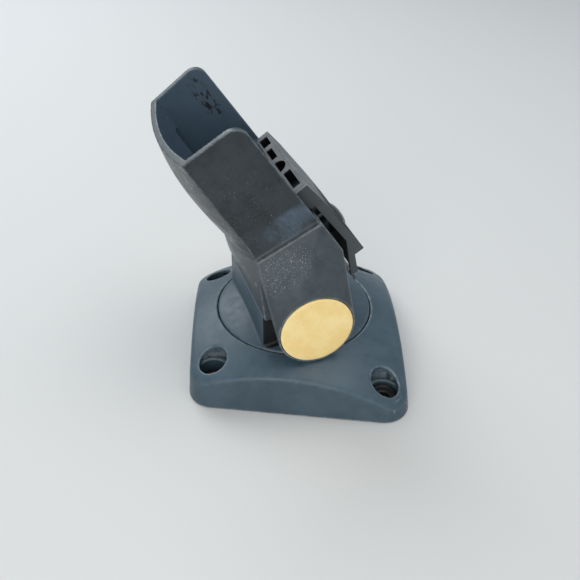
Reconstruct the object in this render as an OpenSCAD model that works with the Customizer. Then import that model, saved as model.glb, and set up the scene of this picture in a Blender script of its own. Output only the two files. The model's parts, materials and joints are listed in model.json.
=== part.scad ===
// Swivel and tilt rod holder with a slide-in open socket, on a four-hole domed base.
// Units are millimetres. +Z is up, the origin is the swivel axis at the underside of the base,
// +X is the wide (rear) end of the base. The head is drawn turned and leaned to its rest pose.

/* [Base] */
// Distance from the swivel axis forward to the front pair of screw holes
front_hole_x = 44.3; // [42.3:0.5:47.3]
// Distance from the swivel axis back to the rear pair of screw holes
rear_hole_x = 45.6; // [42.6:0.5:47.6]
// Half the distance between the two front screw holes
front_hole_y = 38.6; // [36.6:0.5:41.6]
// Half the distance between the two rear screw holes
rear_hole_y = 50.8; // [48.8:0.5:53.8]
// Radius of the four base corners, round the screw holes
corner_r = 13.8; // [12.6:0.2:14]
// Radius of the dome
dome_r = 126; // [120:1:140]
// Height of the dome where it meets the turntable's rim
rim_z = 30; // [29:0.5:31]
// Thickness of the moulded walls of the base
base_wall = 3.2; // [2.6:0.2:3.6]
// Distance between the stiffening ribs under the base
rib_pitch = 14; // [13:0.5:16]
// Radius of a mounting screw's hole
screw_hole_r = 2.75; // [2.25:0.25:3]
// Radius of a mounting screw's counterbore
counterbore_r = 7.3; // [6.5:0.1:7.6]

/* [Turntable] */
// Radius of the recess that the turntable turns in
well_r = 43; // [42:0.5:44]
// Running gap between the turntable's rim and the recess
rim_gap = 0.4; // [0.3:0.05:0.6]
// Half the depth of the saddle block, front to back
saddle_depth_half = 22.7; // [21.7:0.5:22.7]
// Half the width of the saddle
saddle_half = 31; // [29:0.5:31]
// Radius of the stem that turns in the base's hub
stem_r = 11; // [10:0.5:12]

/* [Head] */
// Turn of the head about the swivel axis at rest, in degrees
rest_swivel = 16.7; // [0.7:1:30.7]
// Lean of the arm from upright at rest, in degrees
rest_lean = 34.5; // [30.5:0.5:34.5]
// Distance of the tilt axis in front of the swivel axis
pivot_back = 4.9; // [3.9:0.5:5.4]
// Height of the tilt axis above the underside of the base
pivot_z = 50; // [49.8:0.1:51]
// Distance from the arm's middle to the outer face of each pivot boss
boss_face = 49; // [48.5:0.5:50]
// Radius of the outer end of each pivot boss
boss_r = 20.4; // [20.2:0.1:20.8]
// Radius of the round pad on each pivot boss
pad_r = 19; // [18:0.2:19.2]

/* [Socket] */
// Length along the arm from the tilt axis to the socket's mouth
mouth_a = 110.5; // [105.5:0.5:118.5]
// Length along the arm from the tilt axis to the shoulder under the socket
shoulder_a = 47.1; // [46.1:0.1:48.1]
// Half the outer width of the socket at its front corners
socket_front_half = 36; // [35:0.5:36]
// Half the outer width of the socket at the back edges of its side walls
socket_back_half = 39; // [38:0.5:39]
// Thickness of the socket's walls
socket_wall = 2.8; // [2.2:0.2:3.4]
// How far the socket's side walls reach back from the arm's axis
socket_back = 34.1; // [33.5:0.1:34.1]
// How far the front wall bulges out between the side walls
socket_bulge = 9.5; // [8.5:0.5:9.5]

/* [Hidden] */
$fn = 96;

// Base
dome_z = rim_z - sqrt(dome_r * dome_r - well_r * well_r);
well_z = 22;
web = 4;
hub_r = 16;
hub_floor_z = 12;
counterbore_z = 7;
hole_boss_r = 10.2;
rib = 2.4;
fit_gap = 0.05;

// Swivel fastening, an M8 socket head screw in a brass insert
bolt_r = 4;
insert_r = 5.6;
insert_z = 3;
thrust_h = 0.8;
thrust_in = 30;
thrust_out = 40;
disc_z = well_z + thrust_h + 0.1;
access_r = 7.9;
access_z = 27;
washer_h = 1.6;
spring_h = 2;
cap_head_r = 6.5;
cap_head_h = 8;
hex_key = 6;

// Pivot, an M8 hex head bolt through both cheeks and a sleeve in the saddle
sleeve_r = 6;
saddle_shelf = 2.4;
cheek_in = 33.5;
boss_in_r = 15.2;
boss_pocket_r = 9.4;
boss_pocket_y = 39.5;
pad_h = 1.2;
pad_recess = 1;
hex_across = 13;
bolt_head_h = 5.3;
nut_h = 6.5;
pivot_washer_r = 8.4;
friction_out = 14.5;
friction_in = 6.4;

// Arm, in its own axes: x is towards the back, z along the arm from the tilt axis
shoulder_slope = 3.8;
ledge = 1;
shoulder_bulge = 6.1;
skin_crease_x = -2.1;
arm_back = 34.8;
arm_clearance = 0.5;
skirt_gap = 0.3;
skirt_reach_back = 26;
waist_a = 24.6;
waist_front = -10.5;
cheek_lead = 2.2;
back_wall_x = 28.8;
back_wall_t = 2.4;
back_wall_low = 6;
lower_wall_low = -8;
lower_wall_half = 27.5;
cover_post_a = 12.4;
cover_post_r = 5.5;
cover_post_x = 40.7;
cover_insert_r = 3.2;
cover_insert_h = 9;

// Socket, carrier and rear cover, in the arm's axes
socket_floor = 3.5;
socket_corner_r = 7;
crease_x = 0.2;
crease_slope = 3.5;
socket_mid_a = 80;
socket_rear_wall_x = 29.3;
socket_rear_wall_t = 2.9;
socket_rear_wall_a = 58;
groove_w = 2.7;
groove_low = 52;
groove_high = 93;
carrier_low = 48.6;
carrier_high = 60;
carrier_half = 28.3;
carrier_front = 32.4;
carrier_rear = 38.9;
carrier_depth = 6;
cover_half = 30.5;
cover_side_t = 2;
cover_gap = 0.2;
cover_screw_r = 2;
cover_head_r = 6.8;

// ---- shared shapes ----

// Places children in the turned head's axes
module head_frame() {
  rotate([0, 0, rest_swivel]) children();
}

// Places children in the leaned arm's axes, from the tilt axis
module arm_frame() {
  head_frame() translate([-pivot_back, 0, pivot_z]) rotate([0, -rest_lean, 0]) children();
}

// Extrudes a side profile (x back, y along the arm) across the arm, centred
module across(width) {
  rotate([90, 0, 0]) linear_extrude(width, center = true) children();
}

// A cylinder along Y from y0 to y1
module y_cylinder(y0, y1, r, r2 = -1) {
  translate([0, y0, 0]) rotate([-90, 0, 0]) cylinder(h = y1 - y0, r1 = r, r2 = r2 < 0 ? r : r2);
}

// Draws children on the far side and mirrored on the near side
module both_sides() {
  children();
  mirror([0, 1, 0]) children();
}

// Distance down from the shoulder plane at a distance x back from the arm's axis
function shoulder_drop(x) = x * tan(shoulder_slope);

// Radius of an arc that rises by bulge over half a chord
function bulge_radius(half, bulge) = (half * half + bulge * bulge) / (2 * bulge);

// ---- base ----

// The straight sides of the base, which stop just short of touching the corner circles
module base_sides(r) {
  reach = r - 0.02;
  length = front_hole_x + rear_hole_x;
  widening = rear_hole_y - front_hole_y;
  across = [-widening, length] * (reach / norm([length, widening]));
  half = [[-front_hole_x - reach, front_hole_y], [-front_hole_x, front_hole_y] + across,
    [rear_hole_x, rear_hole_y] + across, [rear_hole_x + reach, rear_hole_y]];
  polygon(concat(half, [for (i = [3 : -1 : 0]) [half[i][0], -half[i][1]]]));
}

module at_screw_holes() {
  for (side = [-1, 1]) {
    translate([-front_hole_x, side * front_hole_y, 0]) children();
    translate([rear_hole_x, side * rear_hole_y, 0]) children();
  }
}

module base_ribs() {
  reach = 70;
  for (x = [-3.5 * rib_pitch : rib_pitch : 4 * rib_pitch])
    translate([x - rib / 2, -reach, 0]) cube([rib, 2 * reach, rim_z + 8]);
  for (y = [-4 * rib_pitch : rib_pitch : 4 * rib_pitch])
    translate([-reach, y - rib / 2, 0]) cube([2 * reach, rib, rim_z + 8]);
}

module base_hollow() {
  difference() {
    intersection() {
      translate([0, 0, -1]) linear_extrude(rim_z + 8) base_sides(corner_r - base_wall);
      translate([0, 0, dome_z]) sphere(dome_r - base_wall, $fn = 180);
    }
    translate([0, 0, well_z - web]) cylinder(h = 30, r = well_r + base_wall);
    translate([0, 0, -2]) cylinder(h = 40, r = hub_r);
    translate([0, 0, -2]) at_screw_holes() cylinder(h = 40, r = hole_boss_r);
    translate([0, 0, -2]) base_ribs();
  }
}

module base_plate() {
  color("#55626c") difference() {
    intersection() {
      union() {
        linear_extrude(rim_z + 8) base_sides(corner_r);
        at_screw_holes() cylinder(h = rim_z + 8, r = corner_r);
      }
      translate([0, 0, dome_z]) sphere(dome_r, $fn = 180);
    }
    base_hollow();
    translate([0, 0, well_z]) cylinder(h = 30, r = well_r);
    translate([0, 0, hub_floor_z]) cylinder(h = 30, r = stem_r + fit_gap);
    translate([0, 0, insert_z]) cylinder(h = 30, r = insert_r);
    at_screw_holes() {
      translate([0, 0, -1]) cylinder(h = 40, r = screw_hole_r);
      translate([0, 0, counterbore_z]) cylinder(h = 40, r = counterbore_r);
    }
  }
}

module swivel_insert() {
  color("goldenrod") translate([0, 0, insert_z]) difference() {
    cylinder(h = hub_floor_z - insert_z, r = insert_r);
    translate([0, 0, 1]) cylinder(h = 20, r = bolt_r);
  }
}

module thrust_ring() {
  color("ivory") translate([0, 0, well_z]) difference() {
    cylinder(h = thrust_h, r = thrust_out);
    translate([0, 0, -1]) cylinder(h = 4, r = thrust_in);
  }
}

// ---- turntable ----

module turntable() {
  color("#4f5b64") difference() {
    union() {
      intersection() {
        translate([0, 0, disc_z]) cylinder(h = 20, r = well_r - rim_gap);
        translate([0, 0, dome_z]) sphere(dome_r, $fn = 180);
      }
      translate([0, 0, hub_floor_z + 0.3]) cylinder(h = disc_z - hub_floor_z, r = stem_r);
      head_frame() translate([-pivot_back, 0, 0]) {
        translate([0, 0, pivot_z])
          y_cylinder(-saddle_half, saddle_half, saddle_depth_half - saddle_shelf);
        translate([-saddle_depth_half, -saddle_half, disc_z + 2])
          cube([2 * saddle_depth_half, 2 * saddle_half, pivot_z - disc_z - 2]);
      }
    }
    translate([0, 0, -1]) cylinder(h = 60, r = bolt_r + 0.3);
    translate([0, 0, access_z]) cylinder(h = 80, r = access_r);
    head_frame() translate([-pivot_back, 0, pivot_z])
      y_cylinder(-saddle_half - 1, saddle_half + 1, sleeve_r);
  }
}

module swivel_washer() {
  color("silver") translate([0, 0, access_z + 0.05]) difference() {
    cylinder(h = washer_h, r = access_r - 0.4);
    translate([0, 0, -1]) cylinder(h = 4, r = bolt_r + 0.2);
  }
}

module spring_washer() {
  color("lightsteelblue") translate([0, 0, access_z + washer_h + 0.05]) difference() {
    cylinder(h = spring_h, r = access_r - 0.8);
    translate([0, 0, -1]) cylinder(h = 5, r = bolt_r + 0.2);
    // The split that lets the washer spring
    translate([0, -0.6, -1]) rotate([0, 20, 0]) cube([20, 1.2, 5]);
  }
}

module swivel_bolt() {
  head_z = access_z + washer_h + spring_h + 0.05;
  color("silver") difference() {
    union() {
      translate([0, 0, insert_z + 1.5]) cylinder(h = head_z - insert_z - 1, r = bolt_r);
      translate([0, 0, head_z]) cylinder(h = cap_head_h, r = cap_head_r);
    }
    translate([0, 0, head_z + cap_head_h - 4.5])
      cylinder(h = 10, r = hex_key / 2 / cos(30), $fn = 6);
  }
}

module tilt_sleeve() {
  color("silver") head_frame() translate([-pivot_back, 0, pivot_z]) difference() {
    y_cylinder(-saddle_half, saddle_half, sleeve_r);
    y_cylinder(-saddle_half - 1, saddle_half + 1, bolt_r + fit_gap);
  }
}

// ---- tilting arm ----

// A flat outline with a bulging front edge between two sides that spread towards the back
module bulged_outline(crease, half, bulge, back, back_half, reach = 0) {
  radius = bulge_radius(half, bulge);
  spread = (back_half - half) / (back - crease);
  start = crease - bulge - 1;
  end = back + reach;
  start_half = half + spread * (start - crease);
  end_half = half + spread * (end - crease);
  intersection() {
    polygon([[start, -start_half], [end, -end_half], [end, end_half], [start, start_half]]);
    translate([crease - bulge + radius, 0]) circle(radius, $fn = 240);
  }
}

// A thin slab whose upper face lies in the sloping plane of the shoulder
module shoulder_slab(drop = 0) {
  translate([0, 0, shoulder_a]) rotate([0, shoulder_slope, 0]) translate([0, 0, -1 - drop])
    linear_extrude(1) children();
}

module arm_skin() {
  hull() {
    shoulder_slab(0.05) bulged_outline(skin_crease_x, cheek_in + 1, shoulder_bulge, arm_back - 0.3,
      cheek_in + 1);
    // The skirt that stands just above the saddle's front shelf
    rotate([0, rest_lean, 0]) translate([-saddle_depth_half, -cheek_in - 1, skirt_gap])
      cube([skirt_reach_back, 2 * cheek_in + 2, 1]);
  }
}

module cheek() {
  front_half = socket_front_half + ledge;
  back_half = socket_back_half + ledge;
  hull() {
    y_cylinder(cheek_in, boss_face, boss_in_r, boss_r);
    // The inner edge stands a little further forward than the boss
    rotate([0, rest_lean, 0]) translate([-cheek_lead, 0, 0])
      y_cylinder(cheek_in, cheek_in + 2, boss_in_r);
    shoulder_slab() polygon([[skin_crease_x, cheek_in], [crease_x - ledge, front_half],
      [arm_back, back_half], [arm_back, cheek_in]]);
    translate([0, 0, waist_a]) linear_extrude(1) polygon([[waist_front, cheek_in],
      [waist_front, front_half + 0.5], [arm_back - 0.2, back_half + 1], [arm_back - 0.2, cheek_in]]);
  }
}

// The cable space between the cheeks, above the saddle
module arm_hollow() {
  across(2 * (cheek_in - 2.5)) polygon([[-13, 14], [-4.5, 32], [-1, 41], [back_wall_x, 38.5],
    [back_wall_x, -20], [0, -20]]);
}

module tilt_arm() {
  color("#3c4144") arm_frame() difference() {
    union() {
      arm_skin();
      both_sides() cheek();
      // Back wall between the cheeks, with the post that takes the cover's screw
      translate([back_wall_x, -cheek_in - 1, back_wall_low])
        cube([back_wall_t, 2 * cheek_in + 2, 40 - back_wall_low]);
      // Its narrower lower part, which passes between the cover's side walls
      translate([back_wall_x, -lower_wall_half, lower_wall_low])
        cube([back_wall_t, 2 * lower_wall_half, back_wall_low - lower_wall_low + 1]);
      translate([back_wall_x, 0, cover_post_a]) rotate([0, 90, 0])
        cylinder(h = cover_post_x - back_wall_x, r = cover_post_r);
    }
    y_cylinder(-cheek_in, cheek_in, saddle_depth_half - saddle_shelf + arm_clearance);
    arm_hollow();
    y_cylinder(-60, 60, bolt_r + 0.02);
    both_sides() {
      y_cylinder(boss_pocket_y, 60, boss_pocket_r);
      y_cylinder(boss_face - pad_recess, 60, pad_r + 0.15);
    }
    translate([cover_post_x - cover_insert_h, 0, cover_post_a]) rotate([0, 90, 0])
      cylinder(h = 20, r = cover_insert_r);
    at_socket_screws() translate([0, 0, -5]) cylinder(h = 20, r = 1.6);
  }
}

module tilt_bolt() {
  color("silver") arm_frame() {
    y_cylinder(-boss_pocket_y - washer_h, boss_pocket_y + washer_h + nut_h, bolt_r);
    translate([0, -boss_pocket_y - washer_h - bolt_head_h, 0]) rotate([-90, 0, 0])
      cylinder(h = bolt_head_h, r = hex_across / 2 / cos(30), $fn = 6);
  }
}

module tilt_nut() {
  color("silver") arm_frame() difference() {
    translate([0, boss_pocket_y + washer_h, 0]) rotate([-90, 0, 0])
      cylinder(h = nut_h, r = hex_across / 2 / cos(30), $fn = 6);
    y_cylinder(0, 60, bolt_r);
  }
}

module pivot_washer() {
  difference() {
    y_cylinder(boss_pocket_y, boss_pocket_y + washer_h, pivot_washer_r);
    y_cylinder(0, 60, bolt_r);
  }
}

module bolt_washer() {
  color("silver") arm_frame() mirror([0, 1, 0]) pivot_washer();
}

module nut_washer() {
  color("silver") arm_frame() pivot_washer();
}

module friction_disc() {
  difference() {
    y_cylinder(saddle_half + 0.1, cheek_in, friction_out);
    y_cylinder(0, 60, friction_in);
  }
}

module friction_disc_near() {
  color("dimgray") arm_frame() mirror([0, 1, 0]) friction_disc();
}

module friction_disc_far() {
  color("dimgray") arm_frame() friction_disc();
}

module boss_pad() {
  y_cylinder(boss_face - pad_recess, boss_face - pad_recess + pad_h, pad_r);
}

module boss_pad_near() {
  color("#fbe193") arm_frame() mirror([0, 1, 0]) boss_pad();
}

module boss_pad_far() {
  color("#fbe193") arm_frame() boss_pad();
}

// ---- socket ----

// The three screws that hold the socket down on the arm's shoulder
module at_socket_screws() {
  for (place = [[3, -24], [3, 24], [22, 0]])
    translate([place[0], place[1], shoulder_a - shoulder_drop(place[0])])
      rotate([0, shoulder_slope, 0]) children();
}

// Side profile of the socket above the shoulder
module socket_profile() {
  front = -16;
  polygon([[front, shoulder_a - shoulder_drop(front)],
    [socket_back, shoulder_a - shoulder_drop(socket_back)],
    [socket_back, mouth_a - socket_corner_r],
    [socket_back - socket_corner_r, mouth_a - socket_corner_r],
    [socket_back - socket_corner_r, mouth_a], [front, mouth_a]]);
  translate([socket_back - socket_corner_r, mouth_a - socket_corner_r]) circle(socket_corner_r);
}

// Where the side walls meet the front wall, at a length along the arm
function crease_at(a) = crease_x + (a - shoulder_a) * tan(crease_slope);

// A slice through the socket's outside, or its inside when inset by the wall
module socket_slab(a, bulge, inset, reach) {
  translate([0, 0, a]) linear_extrude(0.5)
    bulged_outline(crease_at(a) + inset, socket_front_half - inset, bulge * (1 - inset / socket_front_half),
      socket_back, socket_back_half - inset, reach);
}

// The full length of the socket, filled in
module socket_body(inset, reach) {
  hull() {
    socket_slab(shoulder_a - 4, socket_bulge - 2, inset, reach);
    socket_slab(socket_mid_a, socket_bulge, inset, reach);
    socket_slab(mouth_a - 0.5 + inset, socket_bulge / 2 + 0.5, inset, reach);
  }
}

module socket_shell() {
  color("#3c4144") arm_frame() difference() {
    intersection() {
      socket_body(0, 0);
      across(100) socket_profile();
    }
    difference() {
      socket_body(socket_wall, 20);
      // Floor
      across(100) polygon([[-20, 0], [-20, shoulder_a - shoulder_drop(-20) + socket_floor],
        [70, shoulder_a - shoulder_drop(70) + socket_floor], [70, 0]]);
      // Low rear wall that carries the connector carrier
      translate([socket_rear_wall_x, -50, 0]) cube([socket_rear_wall_t, 100, socket_rear_wall_a]);
    }
    // A guide groove beside each side wall, in the front wall
    both_sides() translate([0.6, socket_front_half - socket_wall - groove_w, groove_low])
      rotate([0, crease_slope, 0]) cube([5, groove_w, groove_high - groove_low]);
    at_socket_screws() translate([0, 0, -1]) cylinder(h = 10, r = 1.75);
    at_carrier_screws() cylinder(h = 20, r = 1.27, center = true);
  }
}

module socket_screws() {
  color("silver") arm_frame() at_socket_screws() difference() {
    union() {
      translate([0, 0, -4.5]) cylinder(h = 8.5, r = 1.55);
      translate([0, 0, socket_floor]) cylinder(h = 2, r1 = 3.2, r2 = 2.4);
    }
    translate([0, 0, socket_floor + 1.6]) cube([4, 0.7, 2], center = true);
    translate([0, 0, socket_floor + 1.6]) cube([0.7, 4, 2], center = true);
  }
}

// The keyed plug sockets in the carrier's upper face, as x back and y across
module carrier_keys() {
  translate([33.4, 18.6]) square([4.7, 8.4]);
  translate([33.4, 5]) square([3.3, 10]);
  intersection() {
    translate([33.3, -3.25]) circle(4.8);
    translate([33.4, -10]) square([10, 20]);
  }
  translate([34, -25.8]) square([4.1, 15]);
}

module connector_carrier() {
  color("#646969") arm_frame() difference() {
    translate([carrier_front, -carrier_half, carrier_low])
      cube([carrier_rear - carrier_front, 2 * carrier_half, carrier_high - carrier_low]);
    translate([0, 0, carrier_high - carrier_depth]) linear_extrude(20) carrier_keys();
    at_carrier_screws() {
      cylinder(h = 20, r = 1.35, center = true);
      translate([0, 0, 3]) cylinder(h = 20, r = 2.4);
    }
  }
}

// The two screws that hold the carrier to the socket's low rear wall
module at_carrier_screws() {
  for (side = [-1, 1])
    translate([carrier_front, side * 20, 50.6]) rotate([0, 90, 0]) children();
}

module carrier_screws() {
  color("silver") arm_frame() at_carrier_screws() difference() {
    union() {
      translate([0, 0, -3]) cylinder(h = 6.5, r = 1.25);
      translate([0, 0, 3]) cylinder(h = 1.6, r = 2.2);
    }
    translate([0, 0, 4.6]) cube([0.6, 3, 1.4], center = true);
  }
}

// ---- rear cover ----

module cover_plate_profile() {
  polygon([[40, 60], [41.2, 49], [42.5, 24], [42.9, 8.7], [41.1, 8.7], [40.7, 24], [39.4, 49],
    [39, 60]]);
}

// A side wall that bends in towards the arm below the plate's lip
module cover_leg_profile() {
  polygon([[40, 60], [32.6, 60], [32.6, 49], [36.9, 48], [38.3, 19.2], [29.4, -1], [33.3, -1.5],
    [37.4, 8.7], [42.9, 8.7], [42.5, 24], [41.2, 49]]);
}

// The sloping floor between the side walls that closes the cover against the arm
module cover_floor_profile() {
  polygon([[38.5, 19.4], [32.1, 4.8], [34, 4.2], [39.6, 17], [41.7, 18], [41.7, 20.4]]);
}

module rear_cover() {
  color("#5a5f60") arm_frame() difference() {
    union() {
      across(2 * cover_half) cover_plate_profile();
      both_sides() translate([0, cover_half - cover_side_t / 2, 0]) across(cover_side_t)
        cover_leg_profile();
      across(2 * cover_half - cover_side_t) cover_floor_profile();
    }
    translate([20, 0, cover_post_a]) rotate([0, 90, 0]) cylinder(h = 40, r = cover_screw_r + 0.3);
    translate([20, 0, cover_post_a]) rotate([0, 90, 0])
      cylinder(h = cover_post_x + cover_gap - 20, r = cover_post_r + 0.5);
  }
}

module cover_insert() {
  color("goldenrod") arm_frame() translate([cover_post_x - cover_insert_h, 0, cover_post_a])
    rotate([0, 90, 0]) difference() {
      cylinder(h = cover_insert_h, r = cover_insert_r);
      translate([0, 0, 0.8]) cylinder(h = 12, r = cover_screw_r + 0.05);
    }
}

module cover_screw() {
  color("silver") arm_frame() translate([42.95, 0, cover_post_a]) rotate([0, 90, 0]) difference() {
    union() {
      translate([0, 0, -9.6]) cylinder(h = 10, r = cover_screw_r);
      intersection() {
        cylinder(h = 1.6, r = cover_head_r);
        translate([0, 0, -14.4]) sphere(16);
      }
    }
    for (turn = [0, 90])
      rotate([0, 0, turn]) translate([0, 0, 1.5]) cube([6.4, 1.1, 1.6], center = true);
  }
}

base_plate();
swivel_insert();
thrust_ring();
turntable();
swivel_bolt();
swivel_washer();
spring_washer();
tilt_sleeve();
tilt_arm();
tilt_bolt();
tilt_nut();
bolt_washer();
nut_washer();
friction_disc_near();
friction_disc_far();
boss_pad_near();
boss_pad_far();
socket_shell();
socket_screws();
connector_carrier();
carrier_screws();
cover_insert();
rear_cover();
cover_screw();
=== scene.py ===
"""Visual model of the swivelling, tilting rod holder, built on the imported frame.

Shapes are drawn in millimetres, in the base's, the head's or the arm's own axes, and scaled
to metres when their mesh is made. The arm's axes are x towards the back, y to the far side
and z along the arm from the tilt axis.
"""
import json
import math

import bmesh
import bpy
from mathutils import Matrix, Vector


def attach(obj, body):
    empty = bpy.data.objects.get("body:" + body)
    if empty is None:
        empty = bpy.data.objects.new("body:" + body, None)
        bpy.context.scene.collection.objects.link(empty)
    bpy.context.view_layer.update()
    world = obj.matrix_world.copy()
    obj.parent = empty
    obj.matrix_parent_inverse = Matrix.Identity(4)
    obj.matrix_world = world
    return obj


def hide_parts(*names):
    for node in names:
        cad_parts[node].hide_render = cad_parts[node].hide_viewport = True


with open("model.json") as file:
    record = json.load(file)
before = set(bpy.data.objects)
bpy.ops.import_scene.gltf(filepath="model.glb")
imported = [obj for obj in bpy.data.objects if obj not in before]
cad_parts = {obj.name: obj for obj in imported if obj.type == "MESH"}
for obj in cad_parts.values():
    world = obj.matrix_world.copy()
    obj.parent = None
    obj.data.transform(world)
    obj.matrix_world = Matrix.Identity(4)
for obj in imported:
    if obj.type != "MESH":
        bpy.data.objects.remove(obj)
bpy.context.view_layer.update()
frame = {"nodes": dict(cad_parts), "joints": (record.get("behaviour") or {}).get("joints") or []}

# ---- the frame's own values ----

MM = 0.001
JOINTS = {joint["name"]: joint for joint in frame["joints"]}
BACKWARDS = Vector(JOINTS["cover_lift"]["axis"])
HEAD_TURN = math.atan2(BACKWARDS.y, BACKWARDS.x)
ARM_LEAN = math.asin(BACKWARDS.z)
PIVOT = Vector(JOINTS["tilt"]["pos_m"]) / MM

HEAD = Matrix.Rotation(HEAD_TURN, 4, "Z")
ARM = Matrix.Translation(PIVOT) @ HEAD @ Matrix.Rotation(-ARM_LEAN, 4, "Y")
PIVOT_BACK = -(HEAD.inverted() @ PIVOT).x
PIVOT_HEIGHT = PIVOT.z
# A side profile drawn as (back, up) becomes a plate across the head or arm
ACROSS = Matrix(((1, 0, 0, 0), (0, 0, -1, 0), (0, 1, 0, 0), (0, 0, 0, 1)))
# A shape drawn along z lies along y, or along x towards the back
ALONG_Y = Matrix.Rotation(-math.pi / 2, 4, "X")
ALONG_X = Matrix.Rotation(math.pi / 2, 4, "Y")

# ---- dimensions, in millimetres ----

FRONT_HOLE = (-44.3, 38.6)
REAR_HOLE = (45.6, 50.8)
CORNER_R = 13.8
DOME_R = 126
RIM_Z = 30
WELL_R = 43
WELL_Z = 22
DOME_Z = RIM_Z - math.sqrt(DOME_R ** 2 - WELL_R ** 2)
BASE_WALL = 3.2
BASE_EDGE_R = 2.2
WALL_DRAFT = 1.1
WEB = 4
HUB_R = 16
HUB_FLOOR_Z = 12
STEM_R = 11
INSERT_R = 5.6
INSERT_Z = 3
SCREW_HOLE_R = 2.75
COUNTERBORE_R = 7.3
COUNTERBORE_Z = 7
HOLE_BOSS_R = 10.2
RIB = 2.4
RIB_PITCH = 14

DISC_R = 42.6
DISC_Z = 22.9
SADDLE_DEPTH_HALF = 22.7
SADDLE_SHELF = 2.4
SADDLE_HALF = 31
SLEEVE_R = 6
ACCESS_R = 7.9
ACCESS_Z = 27

CHEEK_IN = 33.5
BOSS_FACE = 49
BOSS_IN_R = 15.2
BOSS_R = 20.4
PAD_R = 19
PAD_RECESS = 1
BOSS_POCKET_R = 9.4
BOSS_POCKET_Y = 39.5
ARM_CLEARANCE = 0.5
SKIRT_GAP = 0.3
SKIRT_REACH_BACK = 26
SHOULDER_A = 47.1
WAIST_A = 24.6
WAIST_FRONT = -10.5
CHEEK_LEAD = 2.2
SHOULDER_SLOPE = math.radians(3.8)
LEDGE = 1
ARM_BACK = 34.8
POST_A = 12.4
POST_R = 5.5
POST_X = 40.7
BACK_WALL_IN = 28.8
BACK_WALL_OUT = 31.2
LOWER_WALL_LOW = -8
LOWER_WALL_HALF = 27.5
CHEEK_WALL = 2.5

MOUTH_A = 110.5
SOCKET_FRONT_HALF = 36
SOCKET_BACK_HALF = 39
SOCKET_BACK = 34.1
SOCKET_WALL = 2.8
SOCKET_FLOOR = 3.5
SOCKET_CORNER_R = 7
CREASE_X = 0.2
CREASE_SLOPE = math.radians(3.5)
SHOULDER_BULGE = 7.3
FULLEST_BULGE = 9.5
FULLEST_A = 80
FADE_BELOW = 0.0023
FADE_ABOVE = 0.0046
GROOVE_DEPTH = 2.7
GROOVE_WIDTH = 5
GROOVE_LENGTH = 41
GROOVE_A = 52
GROOVE_FROM_CREASE = 0.6

CARRIER_FRONT = 32.4
CARRIER_REAR = 38.9
CARRIER_HALF = 28.3
CARRIER_LOW = 48.6
CARRIER_HIGH = 60
CARRIER_DEPTH = 6
CARRIER_SCREW_Y = 20
CARRIER_SCREW_A = 50.6
COVER_HALF = 30.5
COVER_SIDE = 2
COVER_SCREW_R = 2
COVER_HEAD_R = 6.8
COVER_HEAD_HIGH = 1.6
COVER_HEAD_CROWN = 1.5
COVER_HEAD_X = 42.95

# Far enough to run past the part it cuts
BEYOND = 60
# How finely circles on the arm and the socket's length are divided
CIRCLE_POINTS = 96
SOCKET_STEPS = 28

# A larger scale gives a coarser mesh, and 1 the full one
VOXEL_SCALE = 1.0

# ---- mesh helpers ----


def new_piece(name, mesh_maker, place=Matrix.Identity(4)):
    """An object whose mesh is drawn in millimetres by mesh_maker, put in place in metres."""
    mesh = bpy.data.meshes.new(name)
    bm = bmesh.new()
    mesh_maker(bm)
    bmesh.ops.recalc_face_normals(bm, faces=bm.faces)
    bm.to_mesh(mesh)
    bm.free()
    mesh.transform(Matrix.Scale(MM, 4) @ place)
    piece = bpy.data.objects.new(name, mesh)
    bpy.context.scene.collection.objects.link(piece)
    return piece


def ring_faces(bm, rings):
    """Quads between neighbouring closed rings of vertices."""
    for lower, upper in zip(rings, rings[1:]):
        for i in range(len(lower)):
            j = (i + 1) % len(lower)
            bm.faces.new((lower[i], lower[j], upper[j], upper[i]))


def loft(rings):
    """A mesh maker for a skin through rings of points, closed at both ends."""
    def make(bm):
        made = [[bm.verts.new(p) for p in ring] for ring in rings]
        ring_faces(bm, made)
        bm.faces.new(made[0][::-1])
        bm.faces.new(made[-1])
    return make


def prism(outline, low, high):
    """A mesh maker for an outline of (x, y) points raised from low to high."""
    return loft([[(x, y, z) for x, y in outline] for z in (low, high)])


def lathe(profile, segments):
    """A mesh maker for a closed profile of (radius, height) points turned about z."""
    def make(bm):
        columns = []
        for r, z in profile:
            if r < 1e-6:
                columns.append([bm.verts.new((0, 0, z))])
                continue
            angles = [2 * math.pi * i / segments for i in range(segments)]
            columns.append([bm.verts.new((r * math.cos(t), r * math.sin(t), z)) for t in angles])
        for lower, upper in zip(columns, columns[1:] + columns[:1]):
            for i in range(segments):
                j = (i + 1) % segments
                corners = [lower[i % len(lower)], lower[j % len(lower)],
                           upper[j % len(upper)], upper[i % len(upper)]]
                face = list(dict.fromkeys(corners))
                if len(face) > 2:
                    bm.faces.new(face)
    return make


def cylinder(r, low, high, segments):
    """A mesh maker for a closed cylinder along z."""
    return lathe([(0, low), (r, low), (r, high), (0, high)], segments)


def wrap(points):
    """A mesh maker for the convex hull of points."""
    def make(bm):
        for p in points:
            bm.verts.new(p)
        made = bmesh.ops.convex_hull(bm, input=bm.verts)
        loose = [v for v in made["geom_interior"] if isinstance(v, bmesh.types.BMVert)]
        bmesh.ops.delete(bm, geom=loose, context="VERTS")
    return make


def baked(piece):
    """The piece with its modifiers made real."""
    graph = bpy.context.evaluated_depsgraph_get()
    mesh = bpy.data.meshes.new_from_object(piece.evaluated_get(graph))
    piece.modifiers.clear()
    old = piece.data
    piece.data = mesh
    bpy.data.meshes.remove(old)
    return piece


def combine(piece, others, operation="DIFFERENCE"):
    """Cuts others from the piece, or adds or intersects them, one by one."""
    for other in others:
        step = piece.modifiers.new(operation.lower(), "BOOLEAN")
        step.operation = operation
        step.solver = "EXACT"
        step.object = other
        baked(piece)
        bpy.data.objects.remove(other)
    return piece


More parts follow.
